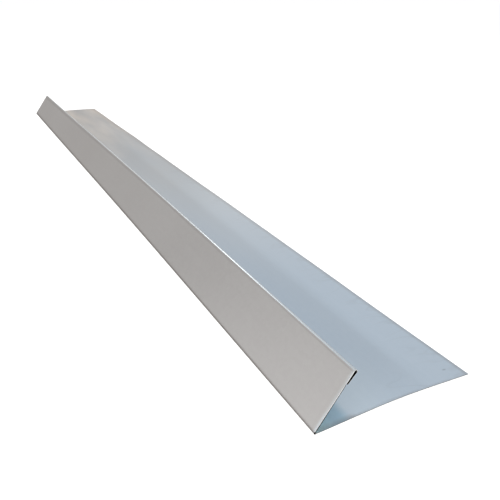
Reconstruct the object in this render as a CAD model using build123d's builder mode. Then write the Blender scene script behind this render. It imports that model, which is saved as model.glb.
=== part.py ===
# Rain diverter flashing: one strip of galvanised sheet, folded lengthwise into an
# acute V with a hemmed top edge. The wide flange lies on the roof deck, under the
# shingles, and the upstand leans back over it to catch the water and lead it aside.
#
# Frame: X along the strip, Y across the flange from the fold (-Y) to the free edge
# (+Y), Z up. The origin is on the underside of the flange, at the middle of the
# part's length and width. Millimetres and degrees.

import os
from math import asin, degrees

from build123d import *

# Cut length and gauge of the strip
length = 1219.2
sheet = 0.55

# Flange, from the outside of the fold to the free edge
flange_width = 139.7

# Upstand, from the outside of the fold to the top of the hem, along its slope
upstand_height = 51.5
upstand_angle = 54.0
fold_inner_radius = 0.8

# Hem: turned back on the flange side and left open, closing towards its mouth
hem_depth = 11.5
hem_gap = 2.1
hem_mouth = 1.1

# Outside radii of the two bends
fold_radius = fold_inner_radius + sheet
hem_radius = hem_gap / 2 + sheet

# Straight runs between the bends
upstand_run = upstand_height - fold_radius - hem_radius
hem_run = hem_depth - hem_radius
hem_pinch = degrees(asin((hem_gap - hem_mouth) / hem_run))

# The whole strip is one bent section, drawn along its outer face and thickened inwards
with BuildPart() as diverter_flashing:
    with BuildSketch(Plane.YZ) as section:
        with BuildLine() as outer_face:
            flange = Line((flange_width / 2, 0), (fold_radius - flange_width / 2, 0))
            fold = JernArc(flange @ 1, flange % 1, fold_radius, upstand_angle - 180)
            upstand = PolarLine(fold @ 1, upstand_run, direction=fold % 1)
            hem = JernArc(upstand @ 1, upstand % 1, hem_radius, -180 - hem_pinch)
            PolarLine(hem @ 1, hem_run, direction=hem % 1)
            offset(amount=sheet, side=Side.RIGHT)
        make_face()
    extrude(amount=length / 2, both=True)

os.makedirs("parts", exist_ok=True)
diverter_flashing.part.label = "diverter_flashing"
export_step(diverter_flashing.part, "parts/diverter_flashing.step")
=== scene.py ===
# Looks of the rain diverter flashing: one folded strip of galvanised sheet in a white studio.
# Metres, in the part's own frame: X along the strip, Y from the fold to the free edge, Z up.
# The near end of the strip, at +X, is the one that the camera stands close to.

from math import asin, cos, pi, radians, sin

import bpy
import numpy as np
from mathutils import Matrix, Vector


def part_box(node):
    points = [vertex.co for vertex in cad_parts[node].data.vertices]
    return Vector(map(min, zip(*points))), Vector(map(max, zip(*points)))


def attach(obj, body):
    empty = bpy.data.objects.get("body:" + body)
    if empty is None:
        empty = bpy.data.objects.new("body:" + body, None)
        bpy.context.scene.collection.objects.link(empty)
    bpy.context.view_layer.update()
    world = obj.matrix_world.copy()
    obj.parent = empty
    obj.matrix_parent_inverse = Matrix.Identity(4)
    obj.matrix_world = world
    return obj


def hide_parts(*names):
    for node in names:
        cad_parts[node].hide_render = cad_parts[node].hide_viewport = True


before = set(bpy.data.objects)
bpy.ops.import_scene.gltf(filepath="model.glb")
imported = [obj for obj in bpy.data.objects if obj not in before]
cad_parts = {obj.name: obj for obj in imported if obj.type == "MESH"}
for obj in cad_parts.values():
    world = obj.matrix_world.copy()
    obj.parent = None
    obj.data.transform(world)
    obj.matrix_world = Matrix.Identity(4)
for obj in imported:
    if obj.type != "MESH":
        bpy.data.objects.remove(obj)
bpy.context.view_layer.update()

# Sizes that the CAD box gives
sheet_low, sheet_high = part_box("diverter_flashing")
length = sheet_high.x - sheet_low.x
flange_width = sheet_high.y - sheet_low.y

# Section, as in the part's source
sheet = 0.00055
upstand_height = 0.0515
upstand_angle = radians(54.0)
fold_inner_radius = 0.0008
hem_depth = 0.0115
hem_gap = 0.0021
hem_mouth = 0.0011
fold_radius = fold_inner_radius + sheet
hem_radius = hem_gap / 2 + sheet
upstand_run = upstand_height - fold_radius - hem_radius
hem_run = hem_depth - hem_radius
hem_pinch = asin((hem_gap - hem_mouth) / hem_run)

# Steps of the mesh along each run of the section, and rings along the strip
flange_steps = 56
fold_steps = 16
upstand_steps = 24
hem_steps = 24
hem_run_steps = 8
stations = 161

# Steps of a straight run crowd towards its ends, apart from this share of even spacing
even_share = 0.15

# Edges between faces that turn by more than this are sharp
smooth_limit = radians(30)

# Small bends that thin sheet has after shearing and folding
crown_near = 0.0019
crown_peak = 0.00105
crown_far = 0.00125
fold_lift = 0.00213
fold_lift_skew = 1.45
fold_lift_power = 1.5
free_edge_lift = 0.0006
far_lean_loss = radians(1.6)

# Slow waves along the flange: waves in the length, skew across the flange, phase, strength
flange_ripple = 0.00022
flange_waves = ((2.6, 0.35, 0.6, 1.0), (5.3, -0.5, 2.1, 0.6), (9.1, 0.8, 4.4, 0.35))

# By this share they swell in the far half of the strip and shrink in the near half
flange_swell = 0.6

# Slow waves along the upstand: waves in the length, phase, strength
upstand_ripple = 0.00012
upstand_waves = ((2.2, 1.1, 1.0), (4.7, 0.3, 0.5))

# Broken corners, and the lip that the shears push out of the upstand's cut ends
edge_break = 0.00008
burr_height = 0.0005
burr_reach = 0.0005
burr_hem_fade = 0.2
fold_burr = 1.2
fold_burr_fade = 0.003
fold_reach = 0.022

# How torn the cut looks: 0 is burnished, 1 is fractured
upstand_tear = 1.0
leg_tear = 0.8
backed_tear = 0.2
flange_tear = 0.65
# Near the fold the cut is darker than its tear alone: painted shade
fold_tear_and_shade = 0.6
low_tear_and_shade = 0.16
outer_corner_tear = 0.15
inner_corner_tear = 0.85

# Narrow bands across the section, as values at the near end and at the far end
fold_band = (0.0021, 0.0050)
rim_place = (0.0016, 0.0050)
rim_band = (0.0024, 0.0070)
mark_place = (0.0004, 0.0032)
mark_band = (0.0004, 0.0032)

# Root of the channel, where painted shadow and painted light lie, only close to the near end
root_reach = 0.080
root_start = 0.535
root_fade = 0.03

# How broad the crest of a bend is: less than 1 is broader than a sine
crest_power = 0.5

# Material slots of the strip
outer_face, inner_face, sheared = range(3)

# Sheet colours, as they look under plain white light; the inner face's blue tint and the outer face's warm
# tint are painted reflection of cool and warm surroundings over one grey zinc
cool_face = (0.385, 0.4825, 0.589)
cool_grazing = (0.855, 0.680, 0.500)
warm_face = (0.316, 0.306, 0.300)
warm_grazing = (0.735, 0.698, 0.672)
cloud_pale = (0.9, 0.9, 0.9)
streak_dark = (0.1, 0.1, 0.1)
crystal_white = (1.0, 1.0, 1.0)
# Partly burnished zinc, partly a painted highlight on the hem's crest and along the cuts of the outer face
burnish_and_highlight = (0.460, 0.505, 0.540)
# Grime in the scuffs, painted shade on the fold, and a darker line below the hem
grime_and_shade = (0.095, 0.085, 0.076)
# Painted shade inside the hem's pocket
pocket_shade = (0.012, 0.012, 0.014)
edge_burnish = (0.760, 0.760, 0.755)
# Dark torn steel, also used as painted shade on the cut across the fold
fracture_and_shade = (0.012, 0.011, 0.010)
# Tan colour along cuts: partly wear; painted shade along the free edge, along the inner face's cuts and at
# the cut end of the channel's root
edge_tan_and_shade = (0.170, 0.152, 0.138)
inside_grey = (0.610, 0.640, 0.655)
# Painted shadow under the hem, and painted light at the channel's root and beside it
root_painted_shadow = (0.318, 0.480, 0.600)
root_painted_light = (0.590, 0.880, 0.970)
root_painted_sheen = (0.880, 0.960, 0.900)
# Painted reflection of warm surroundings at the far end
reflection_dark = (0.190, 0.150, 0.130)
reflection_pale = (0.780, 0.620, 0.480)
wave_pale = (0.905, 0.940, 0.950)
speck_dark = (0.100, 0.110, 0.120)

# The two faces of the sheet: partly matt zinc, and how much of each layer lies over it
outer_look = {
    "colour": warm_face, "grazing": warm_grazing, "metallic": 0.75, "roughness": 0.44,
    "wave": 0.0, "reflection": 0.0, "scuff": 0.03, "wear_and_light_tone": burnish_and_highlight, "wear_and_light": 0.7, "speck": 0.0,
}
inner_look = {
    "colour": cool_face, "grazing": cool_grazing, "metallic": 0.60, "roughness": 0.32,
    "wave": 0.08, "reflection": 0.26, "scuff": 0.08, "wear_and_light_tone": edge_tan_and_shade, "wear_and_light": 0.3, "speck": 0.35,
}

# Noise patterns: scale, detail and, for scuffs, distortion; most of a noise lies in noise_range
cloud_noise = (6.0, 3.0)
streak_noise = (4.0, 3.0)
reflection_noise = (1.0, 2.0)
patch_noise = (45.0, 2.0)
grain_noise = (900.0, 2.0)
scuff_noise = (1.0, 1.0, 0.4)
noise_middle = 0.5
noise_range = (0.3, 0.7)
sharper_range = (0.35, 0.65)

# Rolled zinc: streaks along the strip, soft clouds and fine crystals
streak_stretch = (1.5, 90.0, 90.0)
crystal_scale = 300.0
cloud_share = 0.03
streak_share = 0.02
crystal_share = 0.02
cloud_roughness = 0.03
crystal_roughness = 0.03
streak_relief = {"Strength": 0.3, "Distance": 0.00004}

# Slow bands of tone along the flange, and a painted warm, patchy reflection that fades from the far end
wave_crest = 0.135
wave_length = 0.53
reflection_fade = (-0.45, 0.10)
reflection_shift = (1.8, 0.7, 0.0)
reflection_stretch = (5.0, 28.0, 28.0)

# Scuffs across the strip, wear and painted light along the cuts, and one speck: reaches from the cut or from
# the speck
scuff_stretch = (60.0, 14.0, 14.0)
scuff_width = 0.030
scuff_reach = (0.004, 0.030)
wear_and_light_reach = (0.0008, 0.0024)
wear_and_light_least = 0.3
speck_place = (0.5976, 0.0564, 0.002)
speck_stretch = (1.0, 0.5, 0.3)
speck_reach = (0.0004, 0.0012)

# Marks, painted light and painted shade on the zinc, one over another: stored value, where a mark starts,
# where it is full, strength, colour
zinc_marks_and_light = (
    # Painted shade along the free edge's rim
    ("free_rim_shade", 0.0, 0.8, 0.2, edge_tan_and_shade),
    # A darker line just below the hem's bend
    ("below_hem_line", 0.0, 0.7, 0.22, grime_and_shade),
    ("inside", 0.0, 1.0, 1.0, inside_grey),
    # Painted light and painted shadow in the channel's root: a faint sheen, the shadow under the hem, and a
    # pale teal root
    ("root", 0.0, 0.4, 0.07, root_painted_sheen),
    ("root", 0.6175, 0.7025, 0.9, root_painted_shadow),
    ("root", 0.7875, 1.0, 1.0, root_painted_light),
    # Painted shade on the underside of the fold
    ("fold_crest", 0.0, 0.4, 0.72, grime_and_shade),
    # The hem's crest: partly burnish, partly a painted highlight
    ("hem_crest", 0.1, 0.6, 1.0, burnish_and_highlight),
)

# Painted shade at the cut end of the channel's root, as a dark line: reach from the cut, stored range,
# strength
root_end_reach = (0.0012, 0.0050)
root_end_range = (0.575, 0.626)
root_end_share = 0.36

# Gloss along the hem's crest
hem_gloss_range = (0.1, 0.5)
hem_roughness = 0.20

# Sheared edge
torn_grain = 0.12
torn_range = (0.22, 0.38)
torn_roughness = (0.35, 0.6)
# The cut darkened across the fold: painted shade
fold_shade_range = (0.1, 0.6)
fold_shade_share = 0.85
grain_relief = {"Strength": 0.5, "Distance": 0.00005}

# Camera of the photograph
camera_place = (0.8436, -0.2370, 0.2645)
camera_azimuth = radians(62.811)
camera_pitch = radians(-24.614)
camera_roll = radians(-0.134)
camera_focal_px = 560.92
camera_clip = 0.01
photo_width_px = 500
sensor_mm = 36.0

# Studio
floor_drop = -0.0003
floor_reach = 40.0
floor_grey = 0.55
floor_glow = 0.95
world_light = 0.10


def share_along(x):
    """0 at the far end of the strip, 1 at the near end."""
    return (x + length / 2) / length


def near_to_far(x, near, far):
    """A value that changes evenly from the near end of the strip to the far end."""
    return far + (near - far) * share_along(x)


def band(arcs, middle, reach):
    """1 at the middle of a band across the section, falling evenly to 0 at its reach."""
    return np.clip(1 - np.abs(arcs - middle) / reach, 0.0, 1.0)


def section_at(lean):
    """Places on the outer face, from the free edge to the hem's edge, with inward normals, runs and arcs."""
    places, normals, runs, arcs = [], [], [], []
    here = np.array([flange_width / 2, 0.0])
    heading = pi
    gone = 0.0

    def put(place, angle, run, arc):
        places.append(place)
        normals.append((sin(angle), -cos(angle)))
        runs.append(run)
        arcs.append(arc)

    def straight(run_length, steps, run):
        nonlocal here, gone
        way = np.array([cos(heading), sin(heading)])
        first = 1 if places else 0
        for k in range(first, steps + 1):
            crowded = (1 - cos(pi * k / steps)) / 2
            went = run_length * (even_share * k / steps + (1 - even_share) * crowded)
            put(here + way * went, heading, run, gone + went)
        here = here + way * run_length
        gone += run_length

    def bend_right(radius, turn, steps, run):
        nonlocal here, heading, gone
        centre = here + radius * np.array([sin(heading), -cos(heading)])
        for k in range(1, steps + 1):
            angle = heading - turn * k / steps
            spot = centre + radius * np.array([-sin(angle), cos(angle)])
            put(spot, angle, run, gone + radius * turn * k / steps)
        here = centre + radius * np.array([-sin(heading - turn), cos(heading - turn)])
        heading -= turn
        gone += radius * turn

    straight(flange_width - fold_radius, flange_steps, "flange")
    bend_right(fold_radius, pi - lean, fold_steps, "fold")
    straight(upstand_run, upstand_steps, "upstand")
    bend_right(hem_radius, pi + hem_pinch, hem_steps, "hem")
    straight(hem_run, hem_run_steps, "hem_run")
    return np.array(places), np.array(normals), np.array(runs), np.array(arcs)


def flange_lift(x, y):
    """Height of the flange over a flat one: crown across it, lift along its edges and slow ripples."""
    s = share_along(x)
    u = np.clip((y + flange_width / 2) / flange_width, 0.0, 1.0)
    arch = 4 * u * (1 - u)
    crown = (crown_far + (crown_near - crown_far) * s) * arch + crown_peak * s * arch**3
    fold_share = max(sin(pi * s**fold_lift_skew), 0.0) ** fold_lift_power
    lift = fold_lift * fold_share * (1 - u) + 4 * s * (1 - s) * free_edge_lift * u
    waves = sum(
        strength * np.sin(2 * pi * (count * s + skew * u) + phase)
        for count, skew, phase, strength in flange_waves
    )
    ripple = flange_ripple * u * (1.0 + flange_swell * sin(2 * pi * s)) * waves
    return crown + lift + np.maximum(ripple + flange_ripple * u, 0.0)


def upstand_bulge(x, v):
    """Slow waves of the upstand between its stiff fold and hem, along its normal."""
    s = share_along(x)
    waves = sum(strength * np.sin(2 * pi * count * s + phase) for count, phase, strength in upstand_waves)
    return upstand_ripple * 4 * v * (1 - v) * waves


def hem_shares(runs, arcs):
    """How far each place is from the hem's bend: 0 on it, 1 where the hem's mouth is, on either leg."""
    bend_half = hem_radius * (pi + hem_pinch) / 2
    return np.maximum(np.abs(arcs - arcs[runs == "hem"].mean()) - bend_half, 0.0) / hem_run


def by_fold(runs, arcs):
    """1 on the fold and low on the upstand, falling to 0 at fold_reach above the fold."""
    fold_start = arcs[runs == "flange"][-1]
    return np.clip(2 - 2 * (arcs - fold_start) / fold_reach, 0.0, 1.0)


def burr_at(x, runs, arcs):
    """Lip that the shears push out of the upstand's cut ends, on the inner side, below the hem."""
    at_end = np.clip(1 - (length / 2 - abs(x) - edge_break) / (burr_reach - edge_break), 0.0, 1.0)
    below_hem = np.clip((hem_shares(runs, arcs) - 1.0) / burr_hem_fade, 0.0, 1.0)
    fold_start = arcs[runs == "flange"][-1]
    on_flange = np.clip(1 - (fold_start - arcs) / fold_burr_fade, 0.0, 1.0)
    return burr_height * at_end * below_hem * on_flange * (1 + (fold_burr - 1) * by_fold(runs, arcs))


def sheet_faces_at(x):
    """Outer and inner face of the sheet at one x, as (y, z) pairs, with inward normals, runs and arcs."""
    s = share_along(x)
    lean = upstand_angle - far_lean_loss * (1 - s)
    places, normals, runs, arcs = section_at(lean)
    inner = places + normals * (sheet + burr_at(x, runs, arcs))[:, None]
    shift = np.zeros_like(places)
    on_flange = runs == "flange"
    on_upstand = runs == "upstand"
    shift[on_flange, 1] = flange_lift(x, places[on_flange, 0])
    shift[~on_flange, 1] = flange_lift(x, -flange_width / 2)
    v = (arcs[on_upstand] - arcs[on_upstand][0]) / upstand_run
    shift[on_upstand] -= normals[on_upstand] * upstand_bulge(x, v)[:, None]
    return places + shift, inner + shift, normals, runs, arcs


def ring_at(x, inset):
    """Closed loop round the section: outer face out, inner face back, corners broken, drawn in by inset."""
    outer, inner, inward, runs, arcs = sheet_faces_at(x)
    outer_in = outer + inward * inset
    inner_in = inner - inward * inset
    first = (outer[0] - outer[1]) / np.linalg.norm(outer[0] - outer[1])
    last = (outer[-1] - outer[-2]) / np.linalg.norm(outer[-1] - outer[-2])
    draw = inset + edge_break
    outer_in[0] -= first * draw
    outer_in[-1] -= last * draw
    inner_in[0] -= first * draw
    inner_in[-1] -= last * draw
    loop = [
        *outer_in,
        outer[-1] + inward[-1] * draw - last * inset,
        inner[-1] - inward[-1] * draw - last * inset,
        *inner_in[::-1],
        inner[0] - inward[0] * draw - first * inset,
        outer[0] + inward[0] * draw - first * inset,
    ]
    return [(x, y, z) for y, z in loop], runs, arcs


def bend_weight(runs, arcs, run):
    """1 at the crest of a bend, 0 where the bend ends."""
    on_bend = runs == run
    weight = np.zeros(len(arcs))
    share = (arcs[on_bend] - arcs[on_bend][0]) / (arcs[on_bend][-1] - arcs[on_bend][0])
    weight[on_bend] = np.sin(pi * share) ** crest_power
    return weight


def round_loop(outer, inner, hem_edge=(0.0, 0.0), free_edge=(0.0, 0.0)):
    """Values in the order of a ring's loop: outer face, hem's edge, inner face back, free edge."""
    return [*outer, *hem_edge, *inner[::-1], *free_edge]


def tears(runs, arcs):
    """How torn the cut looks along the outer and the inner face; towards the fold the torn share is partly
    painted shade.
    """
    from_hem = hem_shares(runs, arcs)
    on_upstand = runs == "upstand"
    outer = np.where(runs == "fold", fold_tear_and_shade, low_tear_and_shade * by_fold(runs, arcs) * on_upstand)
    inner = np.where(from_hem > 1.0, upstand_tear, leg_tear)
    inner[on_upstand & (from_hem <= 1.0)] = backed_tear
    inner[runs == "flange"] = flange_tear
    return outer, inner


def ring_values(x, runs, arcs):
    """What the materials need to know about each place of one ring, by name."""
    nothing = np.zeros(len(arcs))
    girth = arcs[-1]
    on_flange = runs == "flange"
    outer_tear, inner_tear = tears(runs, arcs)
    hem_edge_tear = (outer_corner_tear, inner_corner_tear)
    free_edge_tear = (inner_corner_tear * flange_tear, outer_corner_tear)
    along_loop = round_loop(arcs, arcs, (girth, girth))
    at_fold = band(arcs, arcs[runs == "fold"].mean(), near_to_far(x, *fold_band))
    in_pocket = arcs > girth - 2 * hem_run - pi * hem_radius
    near_end = np.clip((x - root_start) / root_fade, 0.0, 1.0)
    near_root = band(arcs, flange_width - fold_radius, root_reach) * on_flange * near_end
    at_rim = band(arcs, near_to_far(x, *rim_place), near_to_far(x, *rim_band))
    mark_middle = arcs[runs == "upstand"][-1] - near_to_far(x, *mark_place)
    at_mark = band(arcs, mark_middle, near_to_far(x, *mark_band))
    return {
        "depth": round_loop(outer_tear, inner_tear, hem_edge_tear, free_edge_tear),
        "cut": [min(arc, girth - arc, length / 2 - abs(x)) for arc in along_loop],
        "hem_crest": round_loop(bend_weight(runs, arcs, "hem"), nothing),
        "fold_crest": round_loop(at_fold, nothing),
        "pocket": round_loop(nothing, in_pocket.astype(float)),
        "root": round_loop(nothing, near_root),
        "inside": round_loop(nothing, (~on_flange).astype(float)),
        "free_rim_shade": round_loop(at_rim, at_rim),
        "below_hem_line": round_loop(at_mark, nothing),
    }


def side_faces(rings, count):
    """Faces between neighbouring rings, with their material slots."""
    # A ring has count places on each face of the sheet, and two on each of its two edges
    per_ring = 2 * count + 4
    faces, surfaces = [], []
    for k in range(rings - 1):
        this_ring = k * per_ring
        next_ring = this_ring + per_ring
        at_end = k in (0, rings - 2)
        for i in range(per_ring):
            j = (i + 1) % per_ring
            faces.append((this_ring + i, next_ring + i, next_ring + j, this_ring + j))
            on_edge = count - 1 <= i <= count + 1 or i >= 2 * count + 1
            if on_edge or at_end:
                surfaces.append(sheared)
            else:
                surfaces.append(outer_face if i < count else inner_face)
    return faces, surfaces


def end_faces(base, count, at_far_end):
    """Faces that close one cut end of the strip, on the ring that starts at base."""
    outer = list(range(count))
    inner = [2 * count + 1 - i for i in outer]
    quads = [(outer[i], inner[i], inner[i + 1], outer[i + 1]) for i in range(count - 1)]
    quads.append((outer[-1], inner[-1], count + 1, count))
    quads.append((inner[0], outer[0], 2 * count + 3, 2 * count + 2))
    faces = [tuple(base + i for i in quad) for quad in quads]
    return [face[::-1] for face in faces] if at_far_end else faces


def build_sheet():
    """The strip as one closed mesh, with what the materials need to know about each place stored on it."""
    half = length / 2
    between = np.linspace(burr_reach - half, half - burr_reach, stations)
    xs = [-half, edge_break - half, *between, half - edge_break, half]
    last = len(xs) - 1
    vertices, stored_values = [], {}
    for k, x in enumerate(xs):
        loop, runs, arcs = ring_at(x, edge_break if k in (0, last) else 0.0)
        vertices += loop
        for name, values in ring_values(x, runs, arcs).items():
            stored_values.setdefault(name, []).extend(values)
    count = len(arcs)
    faces, surfaces = side_faces(len(xs), count)
    for k in (0, last):
        closing = end_faces(k * len(loop), count, k == 0)
        faces += closing
        surfaces += [sheared] * len(closing)
    mesh = bpy.data.meshes.new("flashing_sheet")
    mesh.from_pydata(vertices, [], faces)
    for name, values in stored_values.items():
        mesh.attributes.new(name, "FLOAT", "POINT").data.foreach_set("value", values)
    mesh.polygons.foreach_set("material_index", surfaces)
    mesh.polygons.foreach_set("use_smooth", [True] * len(faces))
    mesh.set_sharp_from_angle(angle=smooth_limit)
    mesh.validate()
    mesh.update()
    piece = bpy.data.objects.new("flashing_sheet", mesh)
    bpy.context.scene.collection.objects.link(piece)
    return piece


def node(tree, kind, inputs=None, **settings):
    """Adds a node; each input is a value or the output socket that feeds it."""
    made = tree.nodes.new(kind)
    for key, value in settings.items():
        setattr(made, key, value)
    for key, value in (inputs or {}).items():
        if isinstance(value, bpy.types.NodeSocket):
            tree.links.new(value, made.inputs[key])
        else:
            made.inputs[key].default_value = value
    return made


def mix_colour(tree, factor, first, second):
    """Blends two colours, each a value or a socket."""
    # The node's colour sockets are 6 and 7, and its result is 2
    made = node(tree, "ShaderNodeMix", {0: factor}, data_type="RGBA")
    for index, value in ((6, first), (7, second)):
        if isinstance(value, bpy.types.NodeSocket):
            tree.links.new(value, made.inputs[index])
        else:
            made.inputs[index].default_value = (*value, 1.0)
    return made.outputs[2]


def maths(tree, operation, first, second=0.0):
    """One arithmetic step on values or sockets."""
    return node(tree, "ShaderNodeMath", {0: first, 1: second}, operation=operation).outputs[0]


def spread(tree, value, low, high, to_low, to_high):
    """Maps a value from one range to another, and holds it there."""
    inputs = {"Value": value, "From Min": low, "From Max": high, "To Min": to_low, "To Max": to_high}
    return node(tree, "ShaderNodeMapRange", inputs).outputs["Result"]


def noise(tree, vector, scale, detail, distortion=0.0):
    """Soft noise at each place."""
    inputs = {"Vector": vector, "Scale": scale, "Detail": detail, "Distortion": distortion}
    return node(tree, "ShaderNodeTexNoise", inputs).outputs["Fac"]


def stretched(tree, place, stretch, shift=(0.0, 0.0, 0.0)):
    """A place scaled and shifted; a pattern is drawn out along the axes with a small scale."""
    inputs = {"Vector": place, "Location": shift, "Scale": stretch}
    return node(tree, "ShaderNodeMapping", inputs).outputs[0]


def stored(tree, name):
    """A value that the mesh holds at each point."""
    return node(tree, "ShaderNodeAttribute", attribute_name=name).outputs["Fac"]


def along_strip(tree, place):
    """The part of a place that runs along the strip."""
    return node(tree, "ShaderNodeSeparateXYZ", {0: place}).outputs["X"]


def off_spot(tree, place, spot, stretch):
    """How far a place is from a spot, with each axis scaled by stretch."""
    away = node(tree, "ShaderNodeVectorMath", {0: place, 1: spot}, operation="SUBTRACT").outputs[0]
    scaled = node(tree, "ShaderNodeVectorMath", {0: away, 1: stretch}, operation="MULTIPLY").outputs[0]
    return node(tree, "ShaderNodeVectorMath", {0: scaled}, operation="LENGTH").outputs["Value"]


def add_relief(tree, shader, height, relief):
    """Fine bump on a surface."""
    made = node(tree, "ShaderNodeBump", {**relief, "Height": height})
    tree.links.new(made.outputs["Normal"], shader.inputs["Normal"])


def new_material(name):
    """A material with its node tree and its shader."""
    material = bpy.data.materials.new(name)
    material.use_nodes = True
    tree = material.node_tree
    return material, tree, tree.nodes["Principled BSDF"]


def crystal_tones(tree, place):
    """A chance value for each fine crystal of the zinc."""
    crystals = node(tree, "ShaderNodeTexVoronoi", {"Vector": place, "Scale": crystal_scale})
    return node(tree, "ShaderNodeSeparateColor", {"Color": crystals.outputs["Color"]}).outputs[0]


def rolled_zinc(tree, colour, clouds, streaks, crystal):
    """Plain zinc as the mill leaves it."""
    tone = mix_colour(tree, spread(tree, clouds, *noise_range, 0.0, cloud_share), colour, cloud_pale)
    tone = mix_colour(tree, spread(tree, streaks, *noise_range, 0.0, streak_share), tone, streak_dark)
    return mix_colour(tree, spread(tree, crystal, 0.0, 1.0, 0.0, crystal_share), tone, crystal_white)


def slow_bands(tree, place, tone, wave):
    """Slow paler and darker bands along the strip."""
    past_crest = maths(tree, "SUBTRACT", along_strip(tree, place), wave_crest)
    turn = maths(tree, "MULTIPLY", past_crest, 2 * pi / wave_length)
    return mix_colour(tree, spread(tree, maths(tree, "COSINE", turn), -1.0, 1.0, 0.0, wave), tone, wave_pale)


def far_painted_reflection(tree, place, tone, reflection):
    """Painted reflection: warm, patchy tones that fade out from the far end."""
    far = spread(tree, along_strip(tree, place), *reflection_fade, reflection, 0.0)
    patches = noise(tree, stretched(tree, place, reflection_stretch, reflection_shift), *reflection_noise)
    patch = spread(tree, patches, *sharper_range, 0.0, 1.0)
    return mix_colour(tree, far, tone, mix_colour(tree, patch, reflection_dark, reflection_pale))


def scuffs(tree, place, tone, cut, scuff):
    """Thin wandering lines of grime near the edges: they lie where a noise passes its middle."""
    wander = noise(tree, stretched(tree, place, scuff_stretch), *scuff_noise)
    off_line = maths(tree, "ABSOLUTE", maths(tree, "SUBTRACT", wander, noise_middle))
    line = spread(tree, off_line, 0.0, scuff_width, 1.0, 0.0)
    near_edge = spread(tree, cut, *scuff_reach, scuff, 0.0)
    return mix_colour(tree, maths(tree, "MULTIPLY", line, near_edge), tone, grime_and_shade)


def cut_wear_and_light(tree, place, tone, cut, wear_and_light_tone, wear_and_light):
    """Patchy wear along the cut edges, with a painted highlight on the outer face and painted shade on the
    inner face.
    """
    patchy = spread(tree, noise(tree, place, *patch_noise), *sharper_range, wear_and_light_least, 1.0)
    at_cut = maths(tree, "MULTIPLY", spread(tree, cut, *wear_and_light_reach, wear_and_light, 0.0), patchy)
    return mix_colour(tree, at_cut, tone, wear_and_light_tone)


def marks_and_painted_light(tree, tone, cut):
    """Marks and painted light: painted shade on the fold, the free edge and the root's cut end, a partly
    painted highlight on the hem's crest, painted shadow and light in the channel's root, a darker line below
    the hem, the grey of the inner faces, and painted shade inside the hem.
    """
    for name, start, full, strength, colour in zinc_marks_and_light:
        tone = mix_colour(tree, spread(tree, stored(tree, name), start, full, 0.0, strength), tone, colour)
    # Painted shade at the cut end of the channel's root
    at_end = spread(tree, cut, *root_end_reach, root_end_share, 0.0)
    at_root = spread(tree, stored(tree, "root"), *root_end_range, 0.0, 1.0)
    tone = mix_colour(tree, maths(tree, "MULTIPLY", at_end, at_root), tone, edge_tan_and_shade)
    # Painted shade inside the hem's pocket
    return mix_colour(tree, stored(tree, "pocket"), tone, pocket_shade)


def zinc_face(name, look):
    """One face of the zinc-coated sheet: rolled zinc, with painted reflection, scuffs, wear and painted
    light along the cuts, and marks and painted light over it.
    """
    material, tree, shader = new_material(name)
    place = node(tree, "ShaderNodeTexCoord").outputs["Object"]
    cut = stored(tree, "cut")
    clouds = noise(tree, place, *cloud_noise)
    streaks = noise(tree, stretched(tree, place, streak_stretch), *streak_noise)
    crystal = crystal_tones(tree, place)

    tone = rolled_zinc(tree, look["colour"], clouds, streaks, crystal)
    tone = slow_bands(tree, place, tone, look["wave"])
    tone = far_painted_reflection(tree, place, tone, look["reflection"])
    tone = scuffs(tree, place, tone, cut, look["scuff"])
    tone = cut_wear_and_light(tree, place, tone, cut, look["wear_and_light_tone"], look["wear_and_light"])
    tone = marks_and_painted_light(tree, tone, cut)
    off_speck = off_spot(tree, place, speck_place, speck_stretch)
    tone = mix_colour(tree, spread(tree, off_speck, *speck_reach, look["speck"], 0.0), tone, speck_dark)
    tree.links.new(tone, shader.inputs["Base Color"])

    cloudy = spread(tree, clouds, *noise_range, -cloud_roughness, cloud_roughness)
    uneven = maths(tree, "ADD", cloudy, spread(tree, crystal, 0.0, 1.0, 0.0, crystal_roughness))
    gloss = spread(tree, stored(tree, "hem_crest"), *hem_gloss_range, look["roughness"], hem_roughness)
    tree.links.new(maths(tree, "ADD", uneven, gloss), shader.inputs["Roughness"])
    add_relief(tree, shader, streaks, streak_relief)
    shader.inputs["Metallic"].default_value = look["metallic"]
    shader.inputs["Specular Tint"].default_value = (*look["grazing"], 1.0)
    return material


def sheared_edge():
    """The cut through the sheet: a bright burnished part and a dark torn part, as shears leave it, with
    painted shade over the cut across the fold.
    """
    material, tree, shader = new_material("sheared_edge")
    place = node(tree, "ShaderNodeTexCoord").outputs["Object"]
    grain = noise(tree, place, *grain_noise)
    uneven = spread(tree, grain, *noise_range, -torn_grain, torn_grain)
    torn = maths(tree, "ADD", stored(tree, "depth"), uneven)
    tone = mix_colour(tree, spread(tree, torn, *torn_range, 0.0, 1.0), edge_burnish, fracture_and_shade)
    # Painted shade on the cut across the fold
    at_fold = spread(tree, stored(tree, "fold_crest"), *fold_shade_range, 0.0, fold_shade_share)
    tone = mix_colour(tree, at_fold, tone, fracture_and_shade)
    tree.links.new(tone, shader.inputs["Base Color"])
    tree.links.new(spread(tree, torn, *torn_range, *torn_roughness), shader.inputs["Roughness"])
    add_relief(tree, shader, grain, grain_relief)
    shader.inputs["Metallic"].default_value = 1.0
    return material


def seen_directly(tree):
    """1 for rays from the camera and for what gloss and glass show of the surroundings, else 0."""
    rays = node(tree, "ShaderNodeLightPath")
    seen = maths(tree, "MAXIMUM", rays.outputs["Is Camera Ray"], rays.outputs["Is Glossy Ray"])
    return maths(tree, "MAXIMUM", seen, rays.outputs["Is Transmission Ray"])


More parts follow.
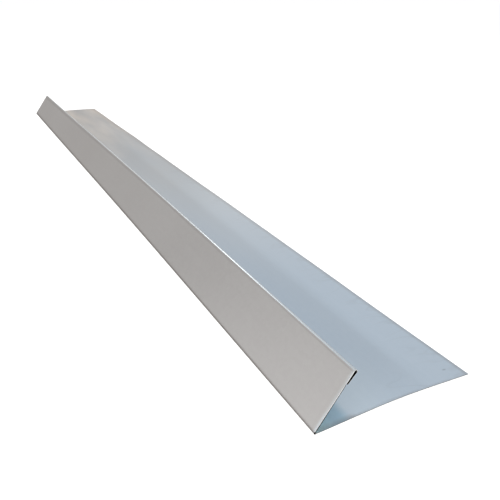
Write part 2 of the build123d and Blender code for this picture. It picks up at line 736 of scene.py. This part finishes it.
def add_floor():
    """White floor that keeps a soft shadow and reads as white where it is lit."""
    mesh = bpy.data.meshes.new("floor")
    signs = [(-1, -1), (1, -1), (1, 1), (-1, 1)]
    mesh.from_pydata([(i * floor_reach, j * floor_reach, floor_drop) for i, j in signs], [], [(0, 1, 2, 3)])
    floor = bpy.data.objects.new("floor", mesh)
    bpy.context.scene.collection.objects.link(floor)
    material, tree, shader = new_material("white_floor")
    output = tree.nodes["Material Output"]
    tree.nodes.remove(shader)
    paper = node(tree, "ShaderNodeBsdfDiffuse", {"Color": (floor_grey, floor_grey, floor_grey, 1.0)})
    glow = maths(tree, "MULTIPLY", seen_directly(tree), floor_glow)
    lift = node(tree, "ShaderNodeEmission", {"Strength": glow})
    both = node(tree, "ShaderNodeAddShader", {0: paper.outputs[0], 1: lift.outputs[0]})
    tree.links.new(both.outputs[0], output.inputs["Surface"])
    mesh.materials.append(material)


def add_world():
    """Surroundings that look white, and give only a little light."""
    world = bpy.data.worlds.new("studio")
    world.use_nodes = True
    bpy.context.scene.world = world
    tree = world.node_tree
    background = tree.nodes["Background"]
    background.inputs["Color"].default_value = (1.0, 1.0, 1.0, 1.0)
    strength = spread(tree, seen_directly(tree), 0.0, 1.0, world_light, 1.0)
    tree.links.new(strength, background.inputs["Strength"])


def add_softbox(name, place, target, width, height, glow, in_gloss=True):
    """Rectangular lamp; glow is how bright its face is, where the white surroundings are 1."""
    data = bpy.data.lights.new(name, "AREA")
    data.shape = "RECTANGLE"
    data.size = width
    data.size_y = height
    data.energy = glow * pi * width * height
    lamp = bpy.data.objects.new(name, data)
    lamp.location = place
    lamp.rotation_euler = (Vector(target) - Vector(place)).to_track_quat("-Z", "Y").to_euler()
    lamp.visible_camera = False
    lamp.visible_glossy = in_gloss
    bpy.context.scene.collection.objects.link(lamp)


def add_lamps():
    """Three lamps for the hem's bright line, strong ones from above and from the left, and two fills."""
    add_softbox("hem_light", place=(-1.154, -0.12, 1.179), target=(0.43, -0.04, 0.04),
                width=0.8, height=0.3, glow=4.4)
    add_softbox("hem_near", place=(-0.55, -0.12, 1.18), target=(0.55, -0.04, 0.04),
                width=0.5, height=0.3, glow=0.6)
    add_softbox("hem_fill", place=(-1.46, -0.26, 0.72), target=(0.2, -0.04, 0.04),
                width=0.8, height=0.5, glow=0.8)
    add_softbox("top_light", place=(0.7, 0.12, 2.0), target=(0.7, -0.04, 0.0),
                width=2.4, height=0.35, glow=7.6, in_gloss=False)
    add_softbox("key_left", place=(1.1, -1.9, 1.095), target=(1.1, -0.04, 0.0425),
                width=2.0, height=0.16, glow=37.5, in_gloss=False)
    add_softbox("near_left", place=(-0.1, -1.23, 0.33), target=(0.58, -0.05, 0.02),
                width=0.6, height=0.5, glow=2.3)
    add_softbox("back_right", place=(-0.9, 1.0, 0.55), target=(0.3, 0.06, 0.0),
                width=0.9, height=0.4, glow=0.36)


def add_camera():
    """Camera at the photograph's place and angle."""
    data = bpy.data.cameras.new("photo_camera")
    data.sensor_width = sensor_mm
    data.lens = camera_focal_px * sensor_mm / photo_width_px
    data.clip_start = camera_clip
    camera = bpy.data.objects.new("photo_camera", data)
    turn = Matrix.Rotation(camera_azimuth, 4, "Z") @ Matrix.Rotation(pi / 2 + camera_pitch, 4, "X")
    camera.matrix_world = Matrix.Translation(camera_place) @ turn @ Matrix.Rotation(camera_roll, 4, "Z")
    bpy.context.scene.collection.objects.link(camera)
    bpy.context.scene.camera = camera


strip = build_sheet()
strip.data.materials.append(zinc_face("zinc_outer_face", outer_look))
strip.data.materials.append(zinc_face("zinc_inner_face", inner_look))
strip.data.materials.append(sheared_edge())
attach(strip, "root")
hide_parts("diverter_flashing")

add_floor()
add_world()
add_lamps()
add_camera()
bpy.context.scene.view_settings.view_transform = "Standard"
